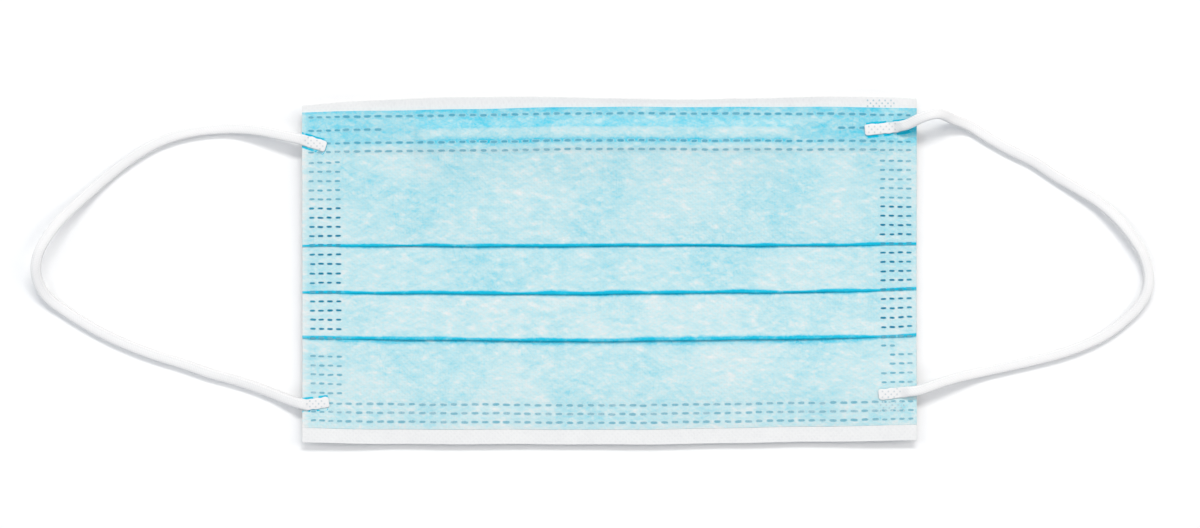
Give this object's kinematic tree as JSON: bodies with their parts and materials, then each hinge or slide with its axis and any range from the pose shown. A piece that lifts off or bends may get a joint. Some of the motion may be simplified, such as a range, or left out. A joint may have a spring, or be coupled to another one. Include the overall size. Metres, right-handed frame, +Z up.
{
  "type": "surgical face mask",
  "caption": "Pleated disposable face mask lying flat, with a blue outer ply over a white inner ply, a nose wire in its hem and elastic ear loops laid out to each side.",
  "frame": {"origin": "middle of the plies' footprint, on the surface that the mask lies on", "axes": "+X along the mask's width, +Y up its face towards the nose wire, +Z up out of its front"},
  "size_m": [0.3203, 0.099, 0.007],
  "materials": {
    "outer_cloth": "pale blue spunbond cloth, matte, mottled",
    "inner_cloth": "white spunbond cloth, matte",
    "wire_coating": "white plastic over a soft wire core",
    "elastic": "white knitted elastic, matte"
  },
  "bodies": {
    "root": {"outer_ply": "outer_cloth", "inner_ply": "inner_cloth", "nose_wire": "wire_coating", "ear_loop_left": "elastic", "ear_loop_right": "elastic"}
  },
  "joints": []
}
